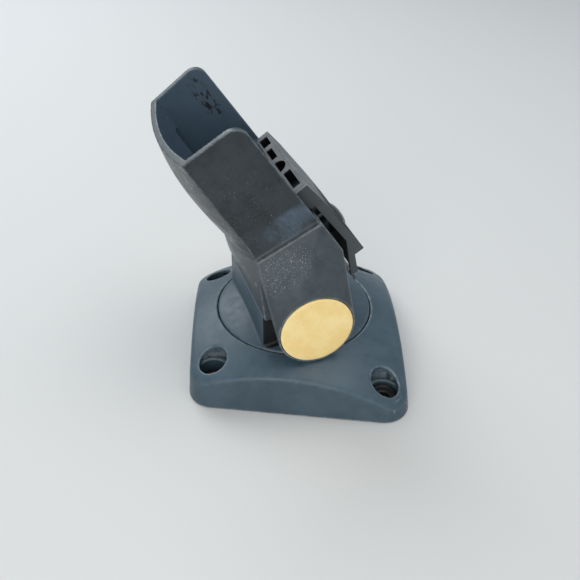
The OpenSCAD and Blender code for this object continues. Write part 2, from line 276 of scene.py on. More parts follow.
def cut_each(parts, cutters):
    """Cuts every cutter from every part. The parts may overlap, and are moulded as one later."""
    for cutter in cutters:
        for part in parts:
            step = part.modifiers.new("cut", "BOOLEAN")
            step.solver = "EXACT"
            step.object = cutter
            baked(part)
        bpy.data.objects.remove(cutter)
    return parts


def joined(name, parts):
    """One object that holds the meshes of several."""
    bm = bmesh.new()
    for part in parts:
        bm.from_mesh(part.data)
        bpy.data.objects.remove(part)
    mesh = bpy.data.meshes.new(name)
    bm.to_mesh(mesh)
    bm.free()
    piece = bpy.data.objects.new(name, mesh)
    bpy.context.scene.collection.objects.link(piece)
    return piece


def smooth_shaded(piece):
    """The piece with smooth shading."""
    piece.data.polygons.foreach_set("use_smooth", [True] * len(piece.data.polygons))
    return piece


def moulded(piece, voxel, passes, keep):
    """The piece as one moulded skin with softly rounded edges, thinned to a share of its faces."""
    step = piece.modifiers.new("skin", "REMESH")
    step.mode = "VOXEL"
    step.voxel_size = voxel * MM * VOXEL_SCALE
    step = piece.modifiers.new("soften", "SMOOTH")
    step.factor = 0.5
    step.iterations = passes
    step = piece.modifiers.new("thin", "DECIMATE")
    step.ratio = min(1.0, keep * VOXEL_SCALE)
    return smooth_shaded(baked(piece))


def crisp(piece, width, segments, angle):
    """The piece with narrow rounded edges and flat faces that stay flat."""
    bm = bmesh.new()
    bm.from_mesh(piece.data)
    bmesh.ops.remove_doubles(bm, verts=bm.verts, dist=1e-6)
    bmesh.ops.dissolve_limit(bm, angle_limit=math.radians(0.5), verts=bm.verts, edges=bm.edges)
    bm.to_mesh(piece.data)
    bm.free()
    smooth_shaded(piece)
    step = piece.modifiers.new("edges", "BEVEL")
    step.width = width * MM
    step.segments = segments
    step.limit_method = "ANGLE"
    step.angle_limit = math.radians(angle)
    step.harden_normals = True
    step.miter_outer = "MITER_ARC"
    return baked(piece)


def arc(cx, cy, r, start, end, count):
    """Points of an arc, from start to end in degrees."""
    angles = [math.radians(start + (end - start) * i / count) for i in range(count + 1)]
    return [(cx + r * math.cos(t), cy + r * math.sin(t)) for t in angles]


def bend(a, b, c, t):
    """A point on the quadratic curve from a to c that is pulled towards b."""
    return tuple((1 - t) ** 2 * p + 2 * t * (1 - t) * q + t ** 2 * r for p, q, r in zip(a, b, c))


def stand_for(piece, body, material_slot, *nodes):
    """The piece rides on a body and hides the CAD nodes it stands for; its material slot is not
    used.
    """
    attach(piece, body)
    if nodes:
        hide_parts(*nodes)
    return piece


# ---- base ----


def dome_height(x, y):
    return DOME_Z + math.sqrt(DOME_R ** 2 - x * x - y * y)


def base_path():
    """(centre, outward direction) round the base: the outline at any corner radius is
    centre + radius * direction."""
    corners = [Vector((FRONT_HOLE[0], -FRONT_HOLE[1])), Vector((REAR_HOLE[0], -REAR_HOLE[1])),
               Vector(REAR_HOLE), Vector(FRONT_HOLE)]
    sides = [b - a for a, b in zip(corners, corners[1:] + corners[:1])]
    normals = [Vector((s.y, -s.x)).normalized() for s in sides]
    path = []
    for i, corner in enumerate(corners):
        before, after = normals[i - 1], normals[i]
        turn = before.angle(after)
        for k in range(13):
            angle = math.atan2(before.y, before.x) + turn * k / 12
            path.append((corner, Vector((math.cos(angle), math.sin(angle)))))
        for k in range(1, 30):
            path.append((corner + sides[i] * (k / 30), after))
    return path


def base_ring(path, r, z):
    """The outline at corner radius r, at a height or at a height given by a function."""
    points = [c + n * r for c, n in path]
    return [(p.x, p.y, z(p.x, p.y) if callable(z) else z) for p in points]


def rim_ring(path, r, z):
    """The outline drawn in to a circle of radius r, with the same number of points."""
    ring = [c.normalized() * r for c, _ in path]
    return [(p.x, p.y, z(p.x, p.y) if callable(z) else z) for p in ring]


def between(outer, inner, steps, z):
    """Rings between an outer and an inner ring, at a height given by a function."""
    rings = []
    for k in range(1, steps):
        t = k / steps
        ring = []
        for p, q in zip(outer, inner):
            x, y = p[0] + (q[0] - p[0]) * t, p[1] + (q[1] - p[1]) * t
            ring.append((x, y, z(x, y)))
        rings.append(ring)
    return rings


def base_shell_rings():
    """Rings over the outside, down the turntable's well, and back along the inside."""
    path = base_path()
    top_r = CORNER_R - WALL_DRAFT
    foot = [base_ring(path, CORNER_R - 0.6, 0), base_ring(path, CORNER_R, 0.6)]
    wall = base_ring(path, top_r, lambda x, y: dome_height(x, y) - BASE_EDGE_R)
    corner = base_ring(path, top_r, dome_height)
    shelf = base_ring(path, top_r - BASE_EDGE_R, dome_height)
    fillet = [[bend(a, b, c, k / 7) for a, b, c in zip(wall, corner, shelf)] for k in range(1, 7)]
    rim = rim_ring(path, WELL_R + 0.9, dome_height)
    dome = between(shelf, rim, 16, dome_height)
    well = [rim_ring(path, WELL_R + 0.25, RIM_Z - 0.25), rim_ring(path, WELL_R, RIM_Z - 0.9),
            rim_ring(path, WELL_R, WELL_Z), rim_ring(path, STEM_R + 0.05, WELL_Z),
            rim_ring(path, STEM_R + 0.05, HUB_FLOOR_Z), rim_ring(path, INSERT_R, HUB_FLOOR_Z),
            rim_ring(path, INSERT_R, INSERT_Z)]
    outside = foot + [wall] + fillet + [shelf] + dome + [rim] + well

    def ceiling(x, y):
        return dome_height(x, y) - BASE_WALL

    inner_r = CORNER_R - BASE_WALL
    inner_foot = base_ring(path, inner_r, 0)
    inner_edge = base_ring(path, inner_r, ceiling)
    inner_rim = rim_ring(path, WELL_R + BASE_WALL, ceiling)
    inside = [inner_foot, inner_edge] + between(inner_edge, inner_rim, 8, ceiling) + [inner_rim]
    inside += [rim_ring(path, WELL_R + BASE_WALL, WELL_Z - WEB),
               rim_ring(path, HUB_R, WELL_Z - WEB), rim_ring(path, HUB_R, 0)]
    return outside, inside


def base_shell():
    outside, inside = base_shell_rings()

    def make(bm):
        outer = [[bm.verts.new(p) for p in ring] for ring in outside]
        inner = [[bm.verts.new(p) for p in ring] for ring in inside]
        ring_faces(bm, outer)
        ring_faces(bm, [outer[0]] + inner)
        bm.faces.new(outer[-1])
        bm.faces.new(inner[-1])

    skin = new_piece("skin", make)
    places = [(x, side * y) for x, y in (FRONT_HOLE, REAR_HOLE) for side in (-1, 1)]
    bosses, cutters = [], []
    for x, y in places:
        place = Matrix.Translation((x, y, 0))
        high = dome_height(x, y)
        bosses.append(new_piece("boss", cylinder(HOLE_BOSS_R, 0, high - 6.5, 64), place))
        profile = [(0, -1), (SCREW_HOLE_R, -1), (SCREW_HOLE_R, COUNTERBORE_Z),
                   (COUNTERBORE_R, COUNTERBORE_Z), (COUNTERBORE_R, 40), (0, 40)]
        cutters.append(new_piece("cutter", lathe(profile, 64), place))
        # The mouth flares to meet the slope of the dome
        normal = Vector((x, y, high - DOME_Z)).normalized()
        upright = place @ Matrix.Translation((0, 0, high)) @ \
            Vector((0, 0, 1)).rotation_difference(normal).to_matrix().to_4x4()
        flare = [(0, -2.2), (COUNTERBORE_R - 0.1, -2.2), (COUNTERBORE_R + 0.15, -1.1),
                 (COUNTERBORE_R + 0.6, -0.35), (COUNTERBORE_R + 1.5, 0.25), (0, 0.25)]
        cutters.append(new_piece("cutter", lathe(flare, 64), upright))
    return moulded(joined("base_shell", cut_each([skin] + bosses, cutters)), 0.6, 7, 0.5)


def rib_along(start, end, fixed, along_x):
    """One rib under the base: a thin plate whose top edge is sunk in the shell above it."""
    def xy(s):
        return (s, fixed) if along_x else (fixed, s)

    def top(s):
        x, y = xy(s)
        if math.hypot(x, y) < WELL_R + BASE_WALL:
            return WELL_Z - WEB / 2
        return dome_height(x, y) - BASE_WALL / 2

    count = max(2, int((end - start) / 2.5))
    crest = [(start + (end - start) * k / count, 0) for k in range(count + 1)]
    outline = [(start, 0.2), (end, 0.2)] + [(s, top(s)) for s, _ in reversed(crest)]
    turn = Matrix.Identity(4) if along_x else Matrix.Rotation(math.pi / 2, 4, "Z")
    shift = Matrix.Translation((0, fixed, 0) if along_x else (fixed, 0, 0))
    rib = new_piece("rib", prism(outline, -RIB / 2, RIB / 2), shift @ turn @ ACROSS)
    cutters = []
    for hole in (FRONT_HOLE, REAR_HOLE):
        for side in (-1, 1):
            x, y = hole[0], side * hole[1]
            if abs((y if along_x else x) - fixed) < HOLE_BOSS_R + RIB:
                place = Matrix.Translation((x, y, 0))
                cutters.append(new_piece("cutter", cylinder(HOLE_BOSS_R - 1, -5, BEYOND, 48),
                                         place))
    if abs(fixed) < HUB_R:
        cutters.append(new_piece("cutter", cylinder(HUB_R - 1, -5, BEYOND, 48)))
    return combine(rib, cutters)


def base_ribs():
    """The crossed stiffening ribs under the base, as far out as the side walls."""
    ribs = []
    slope = (REAR_HOLE[1] - FRONT_HOLE[1]) / (REAR_HOLE[0] - FRONT_HOLE[0])
    inset = CORNER_R - BASE_WALL + 1
    low_x, high_x = FRONT_HOLE[0] - inset, REAR_HOLE[0] + inset
    for k in range(8):
        x = (k - 3.5) * RIB_PITCH
        reach = FRONT_HOLE[1] + (x - FRONT_HOLE[0]) * slope + inset
        ribs.append(rib_along(-reach, reach, x, False))
    for k in range(9):
        y = (k - 4) * RIB_PITCH
        start = max(low_x, FRONT_HOLE[0] + (abs(y) - inset - FRONT_HOLE[1]) / slope)
        ribs.append(rib_along(start, high_x, y, True))
    return joined("base_ribs", ribs)


# ---- turntable ----


def saddle_foot_rings():
    """The small fillet that follows the dome round the saddle's foot."""
    rings = []
    for spread, lift in ((0.45, -2.5), (0.45, 0.1), (0.2, 0.3), (0, 0.7), (-1, 0.9)):
        x, y = SADDLE_DEPTH_HALF + spread, SADDLE_HALF + spread
        corners = [(x, -y), (x, y), (-x, y), (-x, -y)]
        ring = []
        for (x0, y0), (x1, y1) in zip(corners, corners[1:] + corners[:1]):
            for k in range(24):
                px, py = x0 + (x1 - x0) * k / 24, y0 + (y1 - y0) * k / 24
                ring.append((px, py, dome_height(px - PIVOT_BACK, py) + lift))
        rings.append(ring)
    return rings


def turntable():
    rim_z = dome_height(DISC_R, 0)
    crown = [(r, dome_height(r, 0)) for r in range(40, 0, -4)]
    profile = [(0, HUB_FLOOR_Z + 0.3), (STEM_R, HUB_FLOOR_Z + 0.3), (STEM_R, DISC_Z),
               (DISC_R, DISC_Z), (DISC_R, rim_z - 0.7), (DISC_R - 0.2, rim_z - 0.2),
               (DISC_R - 0.8, rim_z + 0.2)] + crown + [(0, dome_height(0, 0))]
    disc = new_piece("disc", lathe(profile, 160))
    x, top_r = SADDLE_DEPTH_HALF, SADDLE_DEPTH_HALF - SADDLE_SHELF
    outline = [(x, DISC_Z + 2), (x, PIVOT_HEIGHT)] + arc(0, PIVOT_HEIGHT, top_r, 0, 180, 72)
    outline += [(-x, PIVOT_HEIGHT), (-x, DISC_Z + 2)]
    home = HEAD @ Matrix.Translation((-PIVOT_BACK, 0, 0))
    saddle = new_piece("saddle", prism(outline, -SADDLE_HALF, SADDLE_HALF), home @ ACROSS)
    footing = new_piece("footing", loft(saddle_foot_rings()), home)
    cutters = [new_piece("cutter", cylinder(4.3, 0, 40, 48)),
               new_piece("cutter", cylinder(ACCESS_R, ACCESS_Z, 90, 64)),
               new_piece("cutter", cylinder(SLEEVE_R, -40, 40, 48),
                         Matrix.Translation(PIVOT) @ HEAD @ ALONG_Y)]
    parts = cut_each([disc, saddle, footing], cutters)
    return moulded(joined("turntable_body", parts), 0.5, 4, 0.45)


# ---- tilting arm ----


def d_outline(crease, half, bulge, back, back_half, steps=40):
    """An outline with a bulging front between two sides that spread towards the back."""
    radius = (half * half + bulge * bulge) / (2 * bulge)
    swing = math.asin(half / radius)
    centre = crease - bulge + radius
    angles = [swing * (2 * k / steps - 1) for k in range(steps + 1)]
    front = [(centre - radius * math.cos(t), radius * math.sin(t)) for t in angles]
    return front + [(back, back_half), (back, -back_half)]


def shoulder_height(x):
    """How far along the arm the shoulder's plane lies, at a distance back from its axis."""
    return SHOULDER_A - x * math.tan(SHOULDER_SLOPE)


def on_shoulder(outline, lift=0):
    """An outline laid on the shoulder's plane."""
    return [(x, y, shoulder_height(x) + lift) for x, y in outline]


def circle_points(r, y):
    """A circle round the tilt axis."""
    angles = [2 * math.pi * i / CIRCLE_POINTS for i in range(CIRCLE_POINTS)]
    return [(r * math.cos(t), y, r * math.sin(t)) for t in angles]


def arm_body():
    half, back_half = SOCKET_FRONT_HALF + LEDGE, SOCKET_BACK_HALF + LEDGE
    crease = CREASE_X - LEDGE
    top = d_outline(crease, half, SHOULDER_BULGE, ARM_BACK, back_half)
    upright = Matrix.Rotation(ARM_LEAN, 4, "Y")
    reach = (-SADDLE_DEPTH_HALF, SKIRT_REACH_BACK - SADDLE_DEPTH_HALF)
    low = [upright @ Vector((x, y, z)) for x in reach for y in (-CHEEK_IN - 1, CHEEK_IN + 1)
           for z in (SKIRT_GAP, SKIRT_GAP + 1)]
    parts = [new_piece("skin", wrap(on_shoulder(top) + on_shoulder(top, -1) + low), ARM)]
    for side in (-1, 1):
        cheek = circle_points(BOSS_IN_R, side * CHEEK_IN)
        cheek += circle_points(BOSS_R, side * (BOSS_FACE - 0.4))
        cheek += circle_points(BOSS_R - 0.4, side * BOSS_FACE)
        cheek += on_shoulder([(crease, side * CHEEK_IN), (crease, side * half),
                              (ARM_BACK, side * back_half), (ARM_BACK, side * CHEEK_IN)])
        waist = [(WAIST_FRONT, CHEEK_IN), (WAIST_FRONT, half + 0.5),
                 (ARM_BACK - 0.2, back_half + 1), (ARM_BACK - 0.2, CHEEK_IN)]
        cheek += [(x, side * y, WAIST_A) for x, y in waist]
        lead = upright @ Vector((-CHEEK_LEAD, 0, 0))
        cheek += [(x + lead.x, side * (CHEEK_IN + step), z + lead.z)
                  for x, _, z in circle_points(BOSS_IN_R, 0) for step in (0, 2)]
        parts.append(new_piece("cheek", wrap(cheek), ARM))
    wall = [(BACK_WALL_IN, 6), (BACK_WALL_OUT, 6), (BACK_WALL_OUT, 40), (BACK_WALL_IN, 40)]
    parts.append(new_piece("wall", prism(wall, -CHEEK_IN - 1, CHEEK_IN + 1), ARM @ ACROSS))
    low_wall = [(BACK_WALL_IN, LOWER_WALL_LOW), (BACK_WALL_OUT, LOWER_WALL_LOW),
                (BACK_WALL_OUT, 7), (BACK_WALL_IN, 7)]
    parts.append(new_piece("low_wall", prism(low_wall, -LOWER_WALL_HALF, LOWER_WALL_HALF),
                           ARM @ ACROSS))
    post = ARM @ Matrix.Translation((0, 0, POST_A)) @ ALONG_X
    parts.append(new_piece("post", cylinder(POST_R, 29, POST_X, 64), post))
    hollow = [(-13, 14), (-4.5, 32), (-1, 41), (BACK_WALL_IN, 38.5), (BACK_WALL_IN, -20),
              (0, -20)]
    clear_r = SADDLE_DEPTH_HALF - SADDLE_SHELF + ARM_CLEARANCE
    cutters = [
        new_piece("cutter", cylinder(clear_r, -CHEEK_IN, CHEEK_IN, 128), ARM @ ALONG_Y),
        new_piece("cutter", prism(hollow, CHEEK_WALL - CHEEK_IN, CHEEK_IN - CHEEK_WALL),
                  ARM @ ACROSS),
        new_piece("cutter", cylinder(4.02, -BEYOND, BEYOND, 48), ARM @ ALONG_Y),
        new_piece("cutter", cylinder(3.2, POST_X - 9, BEYOND, 48), post)]
    for side in (-1, 1):
        for r, start in ((BOSS_POCKET_R, BOSS_POCKET_Y), (PAD_R + 0.35, BOSS_FACE - PAD_RECESS)):
            low_y, high_y = sorted((side * start, side * BEYOND))
            cutters.append(new_piece("cutter", cylinder(r, low_y, high_y, 128), ARM @ ALONG_Y))
    return moulded(joined("arm_body", cut_each(parts, cutters)), 0.5, 5, 0.45)


def boss_pad(side):
    """The thin round pad in a boss's recess, with a softly rounded edge."""
    inner, outer = BOSS_FACE - PAD_RECESS, BOSS_FACE + 0.2
    profile = [(0, inner), (PAD_R - 0.1, inner), (PAD_R, inner + 0.15), (PAD_R, outer - 0.35),
               (PAD_R - 0.12, outer - 0.1), (PAD_R - 0.4, outer)]
    profile += [(r, outer) for r in (17, 13, 9, 5)] + [(0, outer)]
    flip = Matrix.Scale(side, 4, (0, 1, 0))
    name = "pad_far" if side > 0 else "pad_near"
    return smooth_shaded(new_piece(name, lathe(profile, 160), ARM @ flip @ ALONG_Y))


# ---- socket ----


def crease_x(a):
    return CREASE_X + (a - SHOULDER_A) * math.tan(CREASE_SLOPE)


def front_bulge(a):
    """How far the front wall stands out, most at the middle of the socket's length."""
    fade = FADE_BELOW if a < FULLEST_A else FADE_ABOVE
    return FULLEST_BULGE - fade * (a - FULLEST_A) ** 2


def socket_rings(inset, low, high, back):
    """Outlines of the socket from low to high along the arm, set in by a wall's thickness."""
    spread = (SOCKET_BACK_HALF - SOCKET_FRONT_HALF) / (SOCKET_BACK - CREASE_X)
    rings = []
    for k in range(SOCKET_STEPS + 1):
        a = low + (high - low) * k / SOCKET_STEPS
        half = SOCKET_FRONT_HALF - inset
        back_half = half + spread * (back - crease_x(a))
        bulge = front_bulge(a) * (1 - inset / SOCKET_FRONT_HALF)
        outline = d_outline(crease_x(a) + inset, half, bulge, back, back_half, 60)
        rings.append([(x, y, a) for x, y in outline])
    return rings


def socket_body():
    shell = new_piece("socket_body", loft(socket_rings(0, 44, MOUTH_A, SOCKET_BACK)), ARM)
    centre = SOCKET_BACK - SOCKET_CORNER_R, MOUTH_A - SOCKET_CORNER_R
    side = [(-20, shoulder_height(-20)), (SOCKET_BACK, shoulder_height(SOCKET_BACK))]
    side += arc(*centre, SOCKET_CORNER_R, 0, 90, 20) + [(-20, MOUTH_A)]
    combine(shell, [new_piece("side", prism(side, -BEYOND, BEYOND), ARM @ ACROSS)], "INTERSECT")
    # The foot flares out in a hollow curve to just inside the arm's ledge
    flare = []
    for lift, out in ((0, 0.7), (0.3, 0.95), (1.7, 0.95), (2.2, 0.55), (3.2, 0.3), (4.4, 0.12),
                      (6, 0)):
        outline = d_outline(CREASE_X - out, SOCKET_FRONT_HALF + out, SHOULDER_BULGE, SOCKET_BACK,
                            SOCKET_BACK_HALF + out)
        flare.append(on_shoulder(outline, lift))
    foot = new_piece("foot", loft(flare), ARM)
    inside = new_piece("inside", loft(socket_rings(SOCKET_WALL, 44, MOUTH_A + 3, 60)), ARM)
    room = [(-20, shoulder_height(-20) + SOCKET_FLOOR), (70, shoulder_height(70) + SOCKET_FLOOR),
            (70, 200), (-20, 200)]
    combine(inside, [new_piece("room", prism(room, -BEYOND, BEYOND), ARM @ ACROSS)],
            "INTERSECT")
    low_wall = [(29.3, 0), (32.2, 0), (32.2, 58), (29.3, 58)]
    combine(inside, [new_piece("low_wall", prism(low_wall, -BEYOND, BEYOND), ARM @ ACROSS)])
    cutters = [inside]
    groove = [(0, 0), (GROOVE_WIDTH, 0), (GROOVE_WIDTH, GROOVE_LENGTH), (0, GROOVE_LENGTH)]
    groove_y = SOCKET_FRONT_HALF - SOCKET_WALL - GROOVE_DEPTH
    along_crease = Matrix.Translation((GROOVE_FROM_CREASE, 0, GROOVE_A)) @ \
        Matrix.Rotation(CREASE_SLOPE, 4, "Y")
    for y in (groove_y, -groove_y - GROOVE_DEPTH):
        cutters.append(new_piece("groove", prism(groove, -y - GROOVE_DEPTH, -y),
                                 ARM @ along_crease @ ACROSS))
    return moulded(joined("socket_body", cut_each([shell, foot], cutters)), 0.38, 2, 0.45)


# ---- connector carrier and rear cover ----


def carrier_body():
    block = [(CARRIER_FRONT, CARRIER_LOW), (CARRIER_REAR, CARRIER_LOW),
             (CARRIER_REAR, CARRIER_HIGH), (CARRIER_FRONT, CARRIER_HIGH)]
    carrier = new_piece("carrier_body", prism(block, -CARRIER_HALF, CARRIER_HALF), ARM @ ACROSS)
    low, high = CARRIER_HIGH - CARRIER_DEPTH, CARRIER_HIGH + 5
    keys = [[(33.4, 18.6), (38.1, 18.6), (38.1, 27), (33.4, 27)],
            [(33.4, 5), (36.7, 5), (36.7, 15), (33.4, 15)],
            [(33.4, -8), (33.4, 1.5)] + arc(33.3, -3.25, 4.8, 85, -85, 24),
            [(34, -25.8), (38.1, -25.8), (38.1, -10.8), (34, -10.8)]]
    cutters = [new_piece("key", prism(key, low, high), ARM) for key in keys]
    for side in (-1, 1):
        place = ARM @ Matrix.Translation(
            (CARRIER_FRONT, side * CARRIER_SCREW_Y, CARRIER_SCREW_A)) @ ALONG_X
        profile = [(0, -5), (1.35, -5), (1.35, 3), (2.4, 3), (2.4, 20), (0, 20)]
        cutters.append(new_piece("screw_way", lathe(profile, 32), place))
    return crisp(combine(carrier, cutters), 0.22, 3, 40)


def cover_body():
    plate = [(40, 60), (41.2, 49), (42.5, 24), (42.9, 8.7), (41.1, 8.7), (40.7, 24), (39.4, 49),
             (39, 60)]
    leg = [(40, 60), (32.6, 60), (32.6, 49), (36.9, 48), (38.3, 19.2), (29.4, -1), (33.3, -1.5),
           (37.4, 8.7), (42.9, 8.7), (42.5, 24), (41.2, 49)]
    floor_plate = [(38.5, 19.4), (32.1, 4.8), (34, 4.2), (39.6, 17), (41.7, 18), (41.7, 20.4)]
    cover = new_piece("cover_body", prism(plate, -COVER_HALF, COVER_HALF), ARM @ ACROSS)
    legs = []
    for side in (-1, 1):
        low_y, high_y = sorted((side * COVER_HALF, side * (COVER_HALF - COVER_SIDE)))
        legs.append(new_piece("leg", prism(leg, low_y, high_y), ARM @ ACROSS))
    legs.append(new_piece("floor_plate", prism(floor_plate, 1 - COVER_HALF, COVER_HALF - 1),
                          ARM @ ACROSS))
    combine(cover, legs, "UNION")
    place = ARM @ Matrix.Translation((0, 0, POST_A)) @ ALONG_X
    cutters = [new_piece("cutter", cylinder(COVER_SCREW_R + 0.3, 20, BEYOND, 48), place),
               new_piece("cutter", cylinder(POST_R + 0.5, 20, POST_X + 0.2, 64), place)]
    return crisp(combine(cover, cutters), 0.35, 3, 25)


def cover_screw():
    """The pan-head screw, with a domed head, a cross recess and a flat rim."""
    sweep = 1.1
    top = [(COVER_HEAD_R * math.sin(t) / math.sin(sweep),
            COVER_HEAD_HIGH - COVER_HEAD_CROWN * (1 - math.cos(t)) / (1 - math.cos(sweep)))
           for t in [sweep * k / 10 for k in range(10, -1, -1)]]
    profile = [(0, -9.6), (1.6, -9.6), (COVER_SCREW_R, -9), (COVER_SCREW_R, 0), (COVER_HEAD_R, 0)]
    place = ARM @ Matrix.Translation((COVER_HEAD_X, 0, POST_A)) @ ALONG_X
    screw = new_piece("cover_screw_head", lathe(profile + top, 96), place)
    cross = []
    for turn in (0.4, 0.4 + math.pi / 2):
        bar = [(-2.6, -0.55), (2.6, -0.55), (2.6, 0.55), (-2.6, 0.55)]
        cross.append(new_piece("bar", prism(bar, 0.7, 3), place @ Matrix.Rotation(turn, 4, "Z")))
    return crisp(combine(screw, cross), 0.12, 2, 35)


# ---- materials ----


def add(tree, kind, feed=(), **settings):
    """A shader node with its settings and with values or links on its inputs."""
    made = tree.nodes.new("ShaderNode" + kind)
    for key, value in settings.items():
        setattr(made, key, value)
    for socket, value in dict(feed).items():
        if isinstance(value, bpy.types.NodeSocket):
            tree.links.new(value, made.inputs[socket])
        else:
            made.inputs[socket].default_value = value
    return made


def new_material(name):
    made = bpy.data.materials.new(name)
    made.use_nodes = True
    return made, made.node_tree, made.node_tree.nodes["Principled BSDF"]


def in_pivot_axes(tree, turn):
    """The surface point in millimetres from the pivot, along turned axes."""
    coords = add(tree, "TexCoord").outputs["Object"]
    place = {"Vector": coords, "Location": PIVOT * MM, "Rotation": turn.to_euler("XYZ"),
             "Scale": (MM, MM, MM)}
    return add(tree, "Mapping", place, vector_type="TEXTURE").outputs[0]


def in_arm_axes(tree):
    return in_pivot_axes(tree, ARM)


def in_head_axes(tree):
    return in_pivot_axes(tree, HEAD)


def in_base_axes(tree):
    """The surface point in millimetres along the base's axes."""
    coords = add(tree, "TexCoord").outputs["Object"]
    return add(tree, "VectorMath", {0: coords, 1: (1 / MM,) * 3}, operation="MULTIPLY").outputs[0]


def noise(tree, point, scale, detail=4.0, rough=0.55, stretch=(1, 1, 1)):
    """Noise with a grain of about one over scale, in millimetres."""
    moved = add(tree, "VectorMath", {0: point, 1: stretch}, operation="MULTIPLY").outputs[0]
    feed = {"Vector": moved, "Scale": scale, "Detail": detail, "Roughness": rough}
    return add(tree, "TexNoise", feed).outputs["Fac"]


def ramp(tree, value, low, high, out_low=0.0, out_high=1.0):
    """A value mapped smoothly from low..high to out_low..out_high."""
    feed = {"Value": value, "From Min": low, "From Max": high,
            "To Min": out_low, "To Max": out_high}
    return add(tree, "MapRange", feed, interpolation_type="SMOOTHSTEP").outputs["Result"]


def maths(tree, operation, a, b=0.0):
    return add(tree, "Math", {0: a, 1: b}, operation=operation).outputs[0]


def patch(tree, point, centre, reach):
    """1 inside a soft ellipsoid about centre, 0 outside it."""
    offset = add(tree, "VectorMath", {0: point, 1: centre}, operation="SUBTRACT").outputs[0]
    scaled = add(tree, "VectorMath", {0: offset, 1: [1 / r for r in reach]}, operation="MULTIPLY")
    far = add(tree, "VectorMath", {0: scaled.outputs[0]}, operation="LENGTH").outputs["Value"]
    return ramp(tree, far, 1.0, 0.55)


def block(tree, point, centre, half):
    """1 inside a box about centre, fading to 0 just outside it."""
    offset = add(tree, "VectorMath", {0: point, 1: centre}, operation="SUBTRACT").outputs[0]
    size = add(tree, "VectorMath", {0: offset}, operation="ABSOLUTE").outputs[0]
    sides = add(tree, "SeparateXYZ", {0: size}).outputs
    masks = [ramp(tree, side, reach + 0.2, reach - 0.2) for side, reach in zip(sides, half)]
    return maths(tree, "MULTIPLY", maths(tree, "MULTIPLY", masks[0], masks[1]), masks[2])


def mix(tree, amount, a, b):
    """Colour a where amount is 0 and colour b where it is 1."""
    made = tree.nodes.new("ShaderNodeMix")
    made.data_type = "RGBA"
    # A Mix node's factor and its two colours are its inputs 0, 6 and 7
    for index, value in ((0, amount), (6, a), (7, b)):
        if isinstance(value, bpy.types.NodeSocket):
            tree.links.new(value, made.inputs[index])
        else:
            made.inputs[index].default_value = value
    return made.outputs[2]


def bumped(tree, height, distance):
    """A normal for bumps whose depth is distance, in millimetres."""
    feed = {"Height": height, "Distance": distance * MM, "Strength": 1.0}
    return add(tree, "Bump", feed).outputs[0]


def rgba(r, g, b):
    return (r, g, b, 1.0)


def faces_inward(tree, centre):
    """1 on faces that look towards a point given in metres, 0 on those that look away."""
    coords = add(tree, "TexCoord").outputs
    offset = add(tree, "VectorMath", {0: coords["Object"], 1: centre}, operation="SUBTRACT")
    outward = add(tree, "VectorMath", {0: coords["Normal"], 1: offset.outputs[0]},
                  operation="DOT_PRODUCT").outputs["Value"]
    return ramp(tree, outward, -0.001, -0.012)


